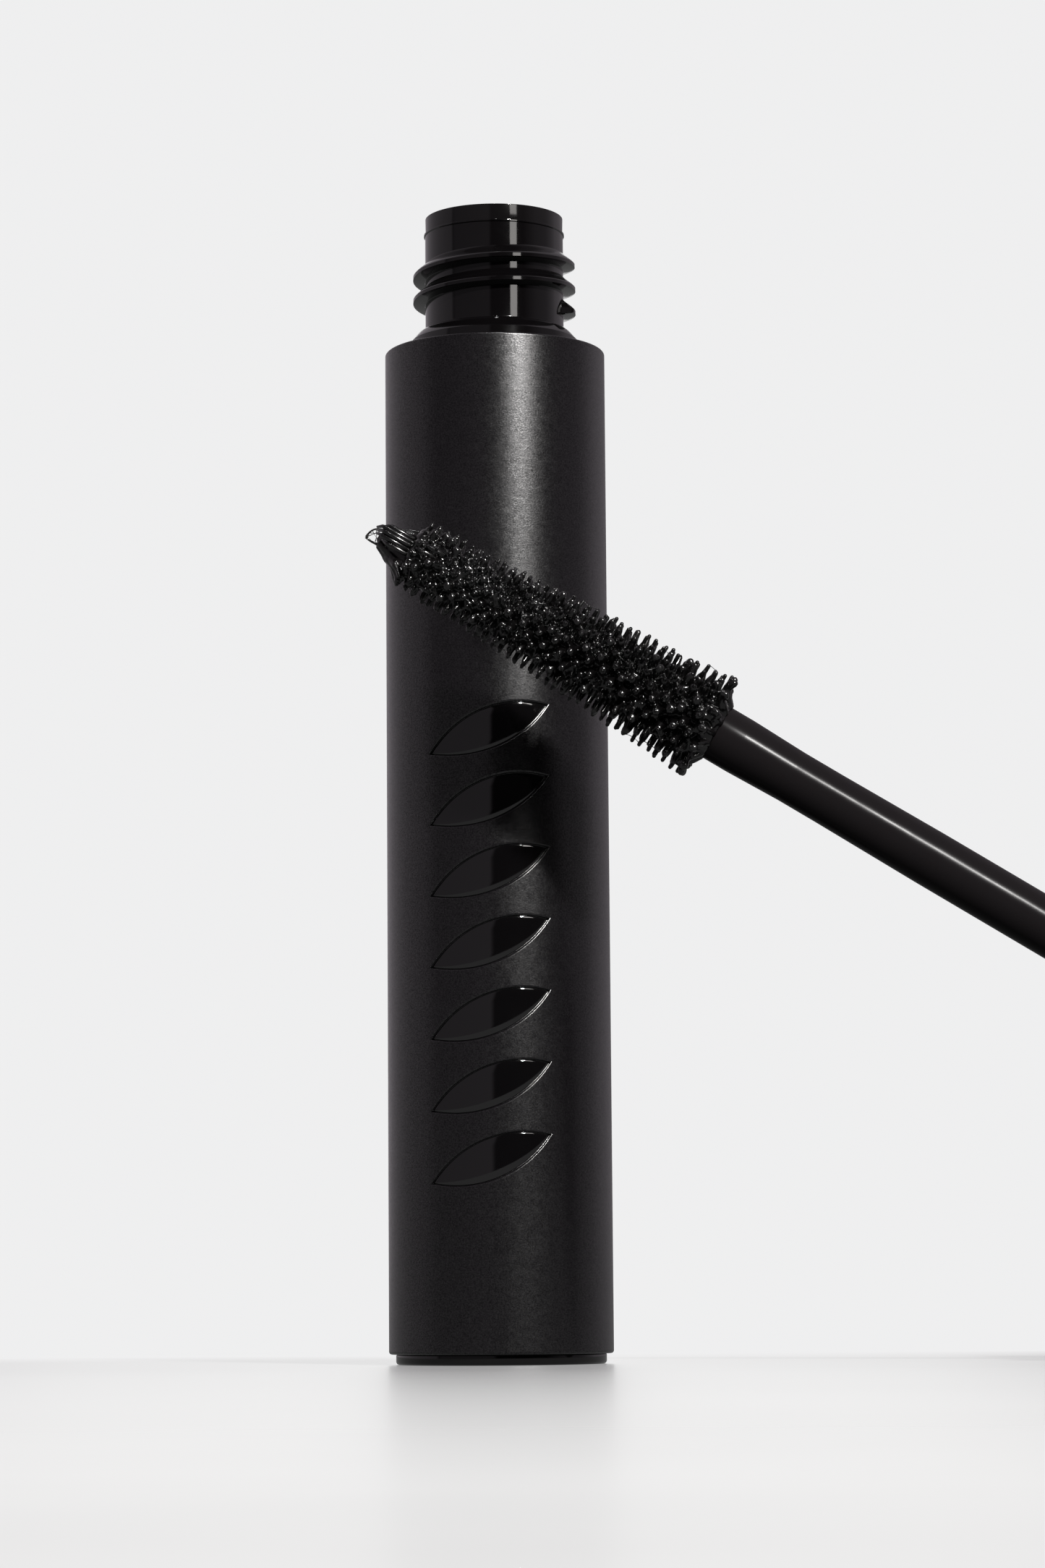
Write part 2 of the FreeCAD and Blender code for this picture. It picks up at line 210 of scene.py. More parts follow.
def noise(add, coords, scale, detail=3, rough=0.5):
    node = add("TexNoise", Vector=coords, Scale=scale, Detail=detail, Roughness=rough)
    return node.outputs["Fac"]


def span(add, value, low, high, to_low, to_high):
    """Maps a value's range low..high on to to_low..to_high."""
    node = add("MapRange")
    node.clamp = True
    for key, v in zip(("From Min", "From Max", "To Min", "To Max"), (low, high, to_low, to_high)):
        node.inputs[key].default_value = v
    node.id_data.links.new(value, node.inputs["Value"])
    return node.outputs["Result"]


def soft_touch():
    """Soft-touch black lacquer: a broad satin sheen broken up by a very fine grain."""
    mat, add, link, shader = material("soft_touch_black")
    where = add("TexCoord").outputs["Object"]
    grain = noise(add, where, 8500, 3, 0.75)
    mottle = noise(add, where, 1500, 4, 0.65)
    shader.inputs["Base Color"].default_value = tinted(0.0018, 0.0014, 0.0019)
    link(span(add, mottle, 0.3, 0.7, 0.22, 0.27), shader.inputs["Roughness"])
    link(span(add, grain, 0.36, 0.64, 0.3, 1.05), shader.inputs["Specular IOR Level"])
    bump = add("Bump", Strength=0.7, Distance=0.000014)
    link(grain, bump.inputs["Height"])
    link(bump.outputs[0], shader.inputs["Normal"])
    return mat


def glossy(name, colour, rough, wave_scale, wave, level=0.3):
    """Moulded glossy plastic: slight waviness, faint roughness changes."""
    mat, add, link, shader = material(name)
    where = add("TexCoord").outputs["Object"]
    shader.inputs["Base Color"].default_value = colour
    shader.inputs["Specular IOR Level"].default_value = level
    smudge = noise(add, where, 350, 5, 0.65)
    link(span(add, smudge, 0.35, 0.75, rough, rough + 0.05), shader.inputs["Roughness"])
    bump = add("Bump", Strength=0.35, Distance=wave)
    link(noise(add, where, wave_scale, 2, 0.4), bump.inputs["Height"])
    link(bump.outputs[0], shader.inputs["Normal"])
    return mat


def wet_paste():
    """Thick wet paste: black and glossy, softly uneven."""
    mat, add, link, shader = material("wet_paste")
    where = add("TexCoord").outputs["Object"]
    shader.inputs["Base Color"].default_value = tinted(0.0016, 0.0014, 0.0015)
    patches = noise(add, where, 900, 3, 0.6)
    link(span(add, patches, 0.35, 0.7, 0.19, 0.25), shader.inputs["Roughness"])
    shader.inputs["Specular IOR Level"].default_value = 0.7
    bump = add("Bump", Strength=0.2, Distance=0.0001)
    link(noise(add, where, 700, 1, 0.4), bump.inputs["Height"])
    link(bump.outputs[0], shader.inputs["Normal"])
    return mat


def plated_steel():
    """Zinc-plated steel: bright metal with a cloudy, slightly uneven surface."""
    mat, add, link, shader = material("zinc_plated_steel")
    where = add("TexCoord").outputs["Object"]
    shader.inputs["Metallic"].default_value = 1.0
    cloud = noise(add, where, 600, 6, 0.7)
    ramp = add("ValToRGB", Fac=cloud)
    ramp.color_ramp.elements[0].color = grey(0.42)
    ramp.color_ramp.elements[1].color = tinted(0.62, 0.61, 0.58)
    link(ramp.outputs[0], shader.inputs["Base Color"])
    link(span(add, cloud, 0.3, 0.7, 0.28, 0.45), shader.inputs["Roughness"])
    bump = add("Bump", Strength=0.2, Distance=0.00003)
    link(noise(add, where, 2600, 3), bump.inputs["Height"])
    link(bump.outputs[0], shader.inputs["Normal"])
    return mat


def foam():
    """White closed-cell foam of the sealing washer."""
    mat, add, link, shader = material("foam_seal")
    where = add("TexCoord").outputs["Object"]
    cells = add("TexVoronoi", Vector=where, Scale=5200.0)
    ramp = add("ValToRGB", Fac=cells.outputs["Distance"])
    ramp.color_ramp.elements[0].color = grey(0.5)
    ramp.color_ramp.elements[1].color = grey(0.78)
    link(ramp.outputs[0], shader.inputs["Base Color"])
    shader.inputs["Roughness"].default_value = 0.75
    bump = add("Bump", Strength=0.7, Distance=0.00008)
    link(cells.outputs["Distance"], bump.inputs["Height"])
    link(bump.outputs[0], shader.inputs["Normal"])
    return mat


SOFT_BLACK = soft_touch()
GLOSS_BLACK = glossy("gloss_black", tinted(0.002, 0.0017, 0.0019), 0.05, 260, 0.00004, 0.5)
INLAY_GLOSS = glossy("inlay_gloss", tinted(0.002, 0.0018, 0.002), 0.04, 500, 0.00001, 1.0)
WIPER_BLACK = glossy("wiper_black", tinted(0.0035, 0.0031, 0.0033), 0.06, 260, 0.00003, 0.45)
SATIN_BLACK = glossy("satin_black", tinted(0.0075, 0.0065, 0.007), 0.2, 700, 0.00002, 0.045)
BRISTLE = glossy("bristle_black", tinted(0.002, 0.0018, 0.0019), 0.2, 2500, 0.00002, 0.35)
LINER_BLACK = glossy("liner_black", tinted(0.01, 0.0095, 0.0095), 0.3, 500, 0.00003)
LABEL = glossy("label_film", tinted(0.62, 0.6, 0.58), 0.5, 1500, 0.00001)
PASTE = wet_paste()
STEEL = plated_steel()
FOAM = foam()


# ---------------------------------------------------------------- the sleeve
SLEEVE_R, SLEEVE_WALL, SLEEVE_LIP, LIP_BORE = 9.5, 0.9, 1.1, 7.65
EDGE, FOOT_EDGE, CAP_EDGE = 0.2, 0.25, 0.8
LEAVES, LEAF_FIRST_Z, LEAF_STEP, LEAF_X = 7, 17.0, 6.0, -0.75
LEAF_HALF_L, LEAF_HALF_W, LEAF_DEPTH = 5.3, 1.7, 0.28
LEAF_SLOPE = math.tan(math.radians(22))
CELL_HALF_L = 5.75
CELL_COLUMNS, BACK_COLUMNS, FLOOR_ROWS = 44, 150, 5
# the rounded rim of a leaf, from the skin to the floor: (distance outside the outline, depth)
LEAF_RIM = ((0.34, 0.0), (0.19, 0.0), (0.12, 0.012), (0.06, 0.045), (0.02, 0.095), (0.0, 0.15),
            (0.0, LEAF_DEPTH - 0.05), (-0.015, LEAF_DEPTH - 0.012), (-0.05, LEAF_DEPTH))
LEAF_RIM_AT_TIPS = 1.3
# the rolled edge of an inlay, from its foot to its face: (distance inside the outline, height)
INLAY_T = 0.08
INLAY_EDGE = ((0.06, 0.0), (0.055, 0.04), (0.08, 0.066), (0.14, INLAY_T))
SLEEVE_CREASE, INLAY_CREASE = 40, 50


def leaf_half_width(x, half_l, half_w):
    """Half width of a leaf of two arcs at x along its length."""
    r = (half_l ** 2 + half_w ** 2) / (2 * half_w)
    return math.sqrt(max(0.0, r * r - x * x)) - (r - half_w)


def on_sleeve(x, z, r):
    """Point straight behind (x, z) as seen from the front, on the cylinder of radius r."""
    return (x, -math.sqrt(r * r - x * x), z)


def leaf_outline(centre_z, half_l, half_w, columns):
    """Upper and lower edge points (x, z) of a tilted leaf, tip to tip, closest at the tips."""
    tilt = math.atan(LEAF_SLOPE)
    c, s = math.cos(tilt), math.sin(tilt)
    upper, lower = [], []
    for i in range(columns + 1):
        x = -half_l * math.cos(math.pi * i / columns)
        w = leaf_half_width(x, half_l, half_w)
        upper.append((LEAF_X + x * c - w * s, centre_z + x * s + w * c))
        lower.append((LEAF_X + x * c + w * s, centre_z + x * s - w * c))
    return upper, lower


class Grid:
    """Collects points and faces, strip by strip."""

    def __init__(self):
        self.points, self.faces = [], []

    def row(self, points):
        start = len(self.points)
        self.points += points
        return list(range(start, start + len(points)))

    def strip(self, a, b):
        for i in range(len(a) - 1):
            self.faces.append((a[i], a[i + 1], b[i + 1], b[i]))

    def band(self, a, b, first=0):
        """A strip from column first on that closes on itself."""
        for i in range(first, len(a)):
            j = (i + 1) % len(a)
            self.faces.append((a[i], a[j], b[j], b[i]))

    def fill(self, low, high, r):
        """Joins two rows by evenly spaced rows that lie on the cylinder of radius r."""
        pairs = [(self.points[i], self.points[j]) for i, j in zip(low, high)]
        rows = [low]
        for m in range(1, FLOOR_ROWS):
            t = m / FLOOR_ROWS
            rows.append(self.row([on_sleeve(a[0] + (b[0] - a[0]) * t, a[2] + (b[2] - a[2]) * t, r)
                                  for a, b in pairs]))
        rows.append(high)
        for a, b in zip(rows, rows[1:]):
            self.strip(a, b)

    def add(self, points, faces):
        start = len(self.points)
        self.points += points
        self.faces += [tuple(start + i for i in face) for face in faces]


def sleeve_wall(z_low, z_high):
    """The sleeve's outer wall with its sunk leaves, as a grid round the cylinder."""
    g = Grid()
    x_left, x_right = LEAF_X - CELL_HALF_L, LEAF_X + CELL_HALF_L
    a_left, a_right = math.asin(x_left / SLEEVE_R), math.asin(x_right / SLEEVE_R)
    front_x = [x_left + (x_right - x_left) * (1 - math.cos(math.pi * i / CELL_COLUMNS)) / 2
               for i in range(CELL_COLUMNS + 1)]
    back_a = [a_right + (2 * math.pi + a_left - a_right) * i / BACK_COLUMNS
              for i in range(1, BACK_COLUMNS)]

    def ring(level):
        """A ring of points at a height given for the front's columns by level(x)."""
        pts = [on_sleeve(x, level(x), SLEEVE_R) for x in front_x]
        z_r, z_l = level(x_right), level(x_left)
        for i, a in enumerate(back_a, 1):
            z = z_r + (z_l - z_r) * smooth(i / BACK_COLUMNS)
            pts.append((SLEEVE_R * math.sin(a), -SLEEVE_R * math.cos(a), z))
        return g.row(pts)

    def slanted(k):
        return lambda x: LEAF_FIRST_Z + (k - 0.5) * LEAF_STEP + (x - LEAF_X) * LEAF_SLOPE

    rings = [ring(lambda x: z_low)]
    rings += [ring(slanted(k)) for k in range(LEAVES + 1)]
    rings.append(ring(lambda x: z_high))
    for k, (low, high) in enumerate(zip(rings, rings[1:])):
        leaf = 1 <= k <= LEAVES
        g.band(low, high, CELL_COLUMNS if leaf else 0)
        if leaf:
            sink_leaf(g, low[:CELL_COLUMNS + 1], high[:CELL_COLUMNS + 1], k - 1)
    return g, rings[0], rings[-1]


def sink_leaf(g, low, high, k):
    """Fills one cell between two slanted rows: the skin, the rounded rim, the wall, the floor."""
    centre = LEAF_FIRST_Z + k * LEAF_STEP
    before_low, before_high = low, high
    first = len(g.points)
    for out, sunk in LEAF_RIM:
        upper, lower = leaf_outline(centre, LEAF_HALF_L + LEAF_RIM_AT_TIPS * out, LEAF_HALF_W + out,
                                    CELL_COLUMNS)
        r = SLEEVE_R - sunk
        row_high = g.row([on_sleeve(x, z, r) for x, z in upper])
        row_low = g.row([on_sleeve(x, z, r) for x, z in lower])
        g.strip(before_low, row_low)
        g.strip(row_high, before_high)
        before_low, before_high = row_low, row_high
    g.faces.append((low[0], first, high[0]))
    g.faces.append((low[-1], high[-1], first + CELL_COLUMNS))
    g.fill(before_low, before_high, SLEEVE_R - LEAF_DEPTH)


def build_sleeve():
    """The barrel: outer wall with the leaves, rolled lip, bore and foot edge."""
    low, high = node_z("outer_sleeve")
    g, bottom, top = sleeve_wall(low + FOOT_EDGE, high - EDGE)
    angles = [math.atan2(g.points[i][0], -g.points[i][1]) for i in bottom]
    bore = SLEEVE_R - SLEEVE_WALL
    path = outline((SLEEVE_R, high - EDGE), (SLEEVE_R, high, EDGE), (LIP_BORE, high, 0.18),
                   (LIP_BORE, high - SLEEVE_LIP), (bore, high - SLEEVE_LIP, 0.2), (bore, low, 0.1),
                   (SLEEVE_R, low, FOOT_EDGE), (SLEEVE_R, low + FOOT_EDGE), closed=False)
    last = top
    for r, z in path[1:-1]:
        row = g.row([(r * math.sin(a), -r * math.cos(a), z) for a in angles])
        g.band(last, row)
        last = row
    g.band(last, bottom)
    sleeve = add_piece("sleeve", g.points, g.faces, TUBE, "tube", "soft_black", SOFT_BLACK,
                       SLEEVE_CREASE, ["outer_sleeve"])
    set_round_normals(sleeve.data)


def set_round_normals(mesh):
    """Gives the sleeve's outer wall the exact normals of its cylinder."""
    normals = [Vector(n.vector) for n in mesh.corner_normals]
    places = [v.co for v in mesh.vertices]
    for face in mesh.polygons:
        radii = [math.hypot(places[i].x, places[i].y) / MM for i in face.vertices]
        if all(abs(r - SLEEVE_R) < ON_CYLINDER_MM for r in radii):
            for loop in face.loop_indices:
                at = places[mesh.loops[loop].vertex_index]
                normals[loop] = Vector((at.x, at.y, 0)).normalized()
    mesh.normals_split_custom_set(normals)


def build_inlays():
    """Seven gloss inlays that follow the sunk floor, with softly rolled edges."""
    g = Grid()
    floor = SLEEVE_R - LEAF_DEPTH
    half = CELL_COLUMNS + 1
    for k in range(LEAVES):
        centre = LEAF_FIRST_Z + k * LEAF_STEP
        rows = []
        for inset, lift in INLAY_EDGE:
            upper, lower = leaf_outline(centre, LEAF_HALF_L - 2 * inset, LEAF_HALF_W - inset,
                                        CELL_COLUMNS)
            rows.append(g.row([on_sleeve(x, z, floor + lift) for x, z in lower + upper[::-1]]))
        for a, b in zip(rows, rows[1:]):
            g.band(a, b)
        for loop, r in ((rows[0], floor), (rows[-1], floor + INLAY_T)):
            g.fill(loop[:half], loop[half:][::-1], r)
    add_piece("leaf_inlays", g.points, g.faces, TUBE, "tube", "inlay_gloss", INLAY_GLOSS,
              INLAY_CREASE, ["motif_inlay"])


# ---------------------------------------------------------------- threads
PITCH = 2.05


def thread_height(t, crest_half, load, lead, soft):
    """Share of the full depth at t millimetres above a ridge's middle, its corners softened."""
    if t < 0:
        share = (-t - crest_half) / load
    else:
        share = (t - crest_half) / lead
    share = unit(share)
    return 1 - (share + (smooth(share) - share) * soft)


def threaded_wall(z_low, z_high, radius_at, turn_steps, offsets, base):
    """A wall from z_low to z_high of radius_at(degrees, z), its rows running along the helix."""
    g = Grid()
    first = math.floor((z_low - base) / PITCH) - 1
    last = math.ceil((z_high - base) / PITCH) + 1
    columns = []
    for j in range(turn_steps + 1):
        degrees = 360.0 * j / turn_steps
        column = []
        for m in range(first, last + 1):
            for t in offsets:
                z = base + PITCH * (m + degrees / 360.0) + t
                z = min(z_high, max(z_low, z))
                r = radius_at(degrees, z)
                a = math.radians(degrees)
                column.append((r * math.cos(a), r * math.sin(a), z))
        columns.append(g.row(column))
    for a, b in zip(columns, columns[1:]):
        g.strip(a, b)
    return g


# ---------------------------------------------------------------- bottle and neck
NECK_R, THREAD_R, THREAD_Z = 6.0, 7.05, 90.45
THREAD_START, THREAD_END = -12.0, 765.0
KNOB_ARC, FADE_BEFORE, FADE_ARC = 3.0, 60, 100.0
NECK_TURNS = range(-1, 4)
NECK_THREAD = {"crest_half": 0.15, "load": 0.2, "lead": 0.95, "soft": 0.35}
# heights of the rows across one pitch, closest at the ridge's corners
NECK_ROWS = (-0.42, -0.38, -0.34, -0.3, -0.26, -0.22, -0.18, -0.14, -0.08, 0.0, 0.08, 0.14, 0.2,
             0.27, 0.35, 0.45, 0.56, 0.68, 0.8, 0.92, 1.02, 1.1, 1.2, 1.34, 1.48)
BEAD_OUT, BEAD_H, BEAD_FOOT = 0.1, 0.14, 0.2
NECK_BORE, NECK_BORE_LOW = 4.9, 83.5
FLANGE_TOP, FLANGE_OVERLAP = 88.9, 0.15
# the flange's domed top as flat facets: (radius, distance below the flange's top)
FLANGE_FACETS = ((7.45, 2.25), (7.35, 1.75), (7.2, 1.0), (6.7, 0.4), (6.3, 0.08))
BOTTLE_R, BOTTLE_BORE, BOTTLE_FLOOR = 8.4, 7.0, 1.3
SHOULDER_Z, SHOULDER_H = 85.6, 4.4
HEEL_R, HEEL_H = 7.55, 1.0
BOTTLE_CREASE, TURNED_CREASE, LINER_CREASE = 24, 40, 60


def neck_radius(degrees, z):
    """Neck radius with the thread's ridge; the ridge starts as a round knob and fades out."""
    ridge = 0.0
    for turn in NECK_TURNS:
        turned = degrees + 360.0 * turn
        begun = unit((turned - THREAD_START + KNOB_ARC) / KNOB_ARC)
        knob = math.sqrt(1 - (1 - begun) ** 2)
        fade = 1 - smooth((turned - THREAD_END + FADE_BEFORE) / FADE_ARC)
        height = thread_height(z - (THREAD_Z + PITCH * turned / 360.0), **NECK_THREAD)
        ridge = max(ridge, height * knob * fade)
    return NECK_R + (THREAD_R - NECK_R) * ridge


def build_bottle():
    """Inner bottle in one skin: threaded neck with its bead, flange, shoulder, body and bores."""
    low, top = node_z("inner_bottle")
    g = threaded_wall(FLANGE_TOP + FLANGE_OVERLAP, top - BEAD_FOOT, neck_radius, NECK_SEGMENTS,
                      NECK_ROWS, THREAD_Z)
    bead = NECK_R + BEAD_OUT
    facets = [(r, FLANGE_TOP - down) for r, down in FLANGE_FACETS]
    path = outline((NECK_R, top - BEAD_FOOT), (bead, top - BEAD_H), (bead, top, 0.03),
                   (NECK_BORE, top, 0.12), (NECK_BORE, NECK_BORE_LOW),
                   (BOTTLE_BORE, SHOULDER_Z - SHOULDER_H), (BOTTLE_BORE, low + BOTTLE_FLOOR, 0.8),
                   (0.0, low + BOTTLE_FLOOR), (0.0, low), (HEEL_R, low, 0.3), (BOTTLE_R, low + HEEL_H),
                   (BOTTLE_R, SHOULDER_Z, 0.4), (FLANGE_FACETS[0][0], SHOULDER_Z, 0.2), *facets,
                   (NECK_R, FLANGE_TOP, 0.05), (NECK_R, FLANGE_TOP + FLANGE_OVERLAP), closed=False)
    g.add(*lathe(path, closed=False, segments=NECK_SEGMENTS))
    add_piece("bottle", g.points, g.faces, TUBE, "tube", "gloss_black", GLOSS_BLACK,
              BOTTLE_CREASE, ["inner_bottle"])


def turned_piece(name, path, axis, body, slot, mat, hides):
    add_piece(name, *lathe(path), axis, body, slot, mat, TURNED_CREASE, hides)


# ---------------------------------------------------------------- wiper, foot, paste in the bottle
WIPER_HOLE_R, WIPER_LIP_R, WIPER_LIP_T = 2.4, 2.9, 0.5
WIPER_SKIRT_R, WIPER_SKIRT_BORE, WIPER_CONE_R = 4.88, 4.33, 4.78
WIPER_CONE_H, WIPER_SKIRT_FROM = 3.6, 4.6
WIPER_FLANGE_R, WIPER_RIM_R = 5.95, 5.98
FOOT_R, FOOT_H = 8.9, 0.88
SPIGOT_R, SPIGOT_BORE = 8.55, 7.65
RECESS_R, RECESS_H = 7.0, 0.1
LABEL_R, LABEL_Z = 6.9, 0.02
FILL_R = 6.9
STEM_CHANNEL_R, STEM_CHANNEL_LOW = 2.7, 48.0
BRUSH_CHANNEL_R, BRUSH_CHANNEL_LOW, BRUSH_CHANNEL_TOP = 4.8, 9.0, 44.2
TIP_CHANNEL_R, TIP_CHANNEL_LOW = 1.6, 5.9


def build_wiper():
    """Ring on the neck's rim, with a skirt that narrows to the lip."""
    low, top = node_z("wiper")
    neck_top = node_z("inner_bottle")[1]
    cone = low + WIPER_CONE_H
    turned_piece("wiper_ring", outline(
        (WIPER_HOLE_R, low), (WIPER_LIP_R, low, 0.1), (WIPER_CONE_R, cone, 0.4),
        (WIPER_SKIRT_R, low + WIPER_SKIRT_FROM, 0.3), (WIPER_SKIRT_R, neck_top),
        (WIPER_FLANGE_R, neck_top, 0.05), (WIPER_RIM_R, top, 0.04), (WIPER_SKIRT_BORE, top, 0.3),
        (WIPER_SKIRT_BORE, cone, 0.5), (WIPER_HOLE_R, low + WIPER_LIP_T, 0.1)),
        TUBE, "tube", "wiper_black", WIPER_BLACK, ["wiper"])


def build_foot():
    """Disc that closes the barrel, with the spigot inside it and the label in its recess."""
    top = node_z("foot_plug")[1]
    turned_piece("foot", outline(
        (0, RECESS_H), (RECESS_R, RECESS_H), (RECESS_R, 0, 0.02), (FOOT_R, 0, 0.3),
        (FOOT_R, FOOT_H, 0.1), (SPIGOT_R, FOOT_H), (SPIGOT_R, top, 0.15), (SPIGOT_BORE, top, 0.15),
        (SPIGOT_BORE, FOOT_H), (0, FOOT_H)), TUBE, "tube", "gloss_black", GLOSS_BLACK, ["foot_plug"])
    turned_piece("base_label_disc", outline(
        (0, LABEL_Z), (LABEL_R, LABEL_Z, 0.03), (LABEL_R, RECESS_H, 0.02), (0, RECESS_H)),
        TUBE, "tube", "label_paper", LABEL, ["base_label"])


def build_fill():
    """Paste in the bottle, with the channel that stem and brush leave in it."""
    low, top = node_z("paste_fill")
    turned_piece("paste_in_bottle", outline(
        (0, low), (FILL_R, low, 0.5), (FILL_R, top, 0.9), (STEM_CHANNEL_R, top, 0.9),
        (STEM_CHANNEL_R, STEM_CHANNEL_LOW), (BRUSH_CHANNEL_R, BRUSH_CHANNEL_TOP, 0.8),
        (BRUSH_CHANNEL_R, BRUSH_CHANNEL_LOW, 0.8), (TIP_CHANNEL_R, TIP_CHANNEL_LOW, 0.4),
        (0, TIP_CHANNEL_LOW)), TUBE, "tube", "paste", PASTE, ["paste_fill"])


# ---------------------------------------------------------------- the wand's stem and cap
BRUSH_L, STEM_END = wand_span("stem")
STEM_FOOT_R, STEM_WAIST_R, STEM_R, STEM_EASE = 2.34, 2.2, 2.28, 6.0
STEM_FOOT_L, WAIST_FROM, WAIST_TO, STEM_FULL_FROM = 2.2, 7.0, 10.5, 20.0
STEM_HEAD_R, STEM_HEAD_T = 3.6, 1.0
CAP_BORE, CAP_UPPER_BORE, CAP_TOP_T, CAP_UPPER_H = 8.55, 7.8, 1.2, 8.6
LINER_R, LINER_BORE, LINER_LEAD, STEM_HOLE_R = 8.5, 7.2, 0.2, 2.29
CHAMBER_R, CHAMBER_H, CHAMBER_LEAD, CEILING_T = 7.75, 4.05, 0.1, 1.3
LINER_RIDGE_FROM, LINER_RIDGE_ARC, LINER_RIDGE_END = 232.0, 342, 14.0
LINER_RIDGE_UP, LINER_RIDGE_DEPTH = 2.1, 1.05
LINER_THREAD = {"crest_half": 0.2, "load": 0.24, "lead": 0.95, "soft": 0.75}
LINER_ROWS = (-1.3, -1.1, -0.9, -0.7, -0.5, -0.35, -0.2, -0.1, 0, 0.1, 0.2, 0.28, 0.36, 0.44, 0.55)
WASHER_R, WASHER_BORE, WASHER_GAP = 7.5, 2.5, 0.02
WEIGHT_R, WEIGHT_BORE = 8.4, 3.7


def build_stem():
    """Rod with a slight waist above the brush and a head that the liner holds."""
    turned_piece("stem_rod", outline(
        (0, BRUSH_L), (STEM_FOOT_R, BRUSH_L, 0.12), (STEM_FOOT_R, BRUSH_L + STEM_FOOT_L, 0.9),
        (STEM_WAIST_R, BRUSH_L + WAIST_FROM, STEM_EASE), (STEM_WAIST_R, BRUSH_L + WAIST_TO, STEM_EASE),
        (STEM_R, BRUSH_L + STEM_FULL_FROM, STEM_EASE), (STEM_R, STEM_END - STEM_HEAD_T),
        (STEM_HEAD_R, STEM_END - STEM_HEAD_T, 0.1), (STEM_HEAD_R, STEM_END, 0.2), (0, STEM_END)),
        WAND, "wand", "satin_black", SATIN_BLACK, ["stem"])


def build_cap():
    """Cap shell of the barrel's width, its bore narrower above the step."""
    low, high = wand_span("cap_shell")
    inside = high - CAP_TOP_T
    step = inside - CAP_UPPER_H
    turned_piece("cap", outline(
        (CAP_BORE, low, 0.1), (SLEEVE_R, low, FOOT_EDGE), (SLEEVE_R, high, CAP_EDGE), (0, high),
        (0, inside), (CAP_UPPER_BORE, inside, 0.4), (CAP_UPPER_BORE, step, 0.1),
        (CAP_BORE, step, 0.1)), WAND, "wand", "soft_black", SOFT_BLACK, ["cap_shell"])


def build_liner():
    """Inner cap whose bore carries one inward ridge, in the same helix as the neck's thread."""
    low, high = wand_span("cap_liner")
    ceiling = high - CEILING_T
    chamber = ceiling - CHAMBER_H
    ridge_z = low + LINER_RIDGE_UP

    def radius_at(degrees, z):
        ridge = 0.0
        for turn in (0, 1):
            run = degrees + 360.0 * turn - LINER_RIDGE_FROM
            ends = smooth(run / LINER_RIDGE_END) * smooth((LINER_RIDGE_ARC - run) / LINER_RIDGE_END)
            height = thread_height(ridge_z + PITCH * run / 360.0 - z, **LINER_THREAD)
            ridge = max(ridge, height * ends)
        return LINER_BORE - LINER_RIDGE_DEPTH * ridge

    g = threaded_wall(low + LINER_LEAD, chamber - CHAMBER_LEAD, radius_at, LINER_SEGMENTS,
                      LINER_ROWS, ridge_z - PITCH * LINER_RIDGE_FROM / 360.0)
    g.add(*lathe(outline(
        (LINER_BORE, chamber - CHAMBER_LEAD), (LINER_BORE, chamber, 0.08), (CHAMBER_R, chamber, 0.05),
        (CHAMBER_R, ceiling, 0.3), (STEM_HOLE_R, ceiling), (STEM_HOLE_R, high), (LINER_R, high, 0.3),
        (LINER_R, low, 0.3), (LINER_BORE, low, 0.15), (LINER_BORE, low + LINER_LEAD), closed=False),
        closed=False, segments=LINER_SEGMENTS))
    add_piece("liner", g.points, g.faces, WAND, "wand", "gloss_black", LINER_BLACK, LINER_CREASE,
              ["cap_liner"])


def build_washer():
    """Sealing washer inside the liner, that the wiper's rim presses on."""
    low, high = wand_span("gasket")
    low, high = low + WASHER_GAP, high - WASHER_GAP
    turned_piece("seal_washer", outline(
        (WASHER_BORE, low, 0.2), (WASHER_R, low, 0.25), (WASHER_R, high, 0.25),
        (WASHER_BORE, high, 0.2)), WAND, "hand_slide", "seal_white", FOAM, ["gasket"])


def build_weight():
    """Steel ring over the liner, inside the cap."""
    low, high = wand_span("cap_weight")
    turned_piece("weight", outline(
        (WEIGHT_BORE, low, 0.2), (WEIGHT_R, low, 0.4), (WEIGHT_R, high, 0.4),
        (WEIGHT_BORE, high, 0.2)), WAND, "thread_rise", "steel", STEEL, ["cap_weight"])


# ---------------------------------------------------------------- the brush
# x is above the brush's axis, y in front of it and z along it; radius of the bristle ends
REACH = ((4.0, 2.95), (6.0, 3.15), (10.0, 3.2), (15.4, 3.57), (18.3, 3.82), (24.5, 4.02), (28.0, 4.2),
         (29.5, 4.4), (32.0, 4.6))
RING_FIRST, RING_STEP, RING_LAST_GAP, PER_RING = 4.3, 0.76, 0.55, 14
RING_COUNT = int((BRUSH_L - RING_LAST_GAP - RING_FIRST) / RING_STEP) + 1
LAST_RING = RING_FIRST + (RING_COUNT - 1) * RING_STEP
BRISTLE_FOOT_R, BRISTLE_END_R = 0.22, 0.17
AXIS_R, CORE_SEGMENTS, PASTE_SEGMENTS, PASTE_LEVELS = 0.02, 32, 48, 24
BRISTLE_CREASE, PASTE_CREASE = 50, 80
# how far the paste stands below the bristle ends, at distances from the tip
SHORT_OF_ENDS = ((4.3, 0.85), (6.0, 1.1), (16.0, 1.45), (26.0, 1.75), (31.0, 1.8), (32.6, 1.7))
# the hood drawn out over the tip: (distance from the tip, height of its middle, radius)
HOOD = ((1.0, -0.1, 0.42), (1.3, -0.2, 0.72), (2.3, -0.2, 1.2), (3.4, -0.2, 1.75), (4.5, -0.1, 2.15),
        (6.0, 0.0, 2.2))
HOOD_FLATNESS, HOOD_RIBS, HOOD_SEGMENTS = 0.75, 12, 32
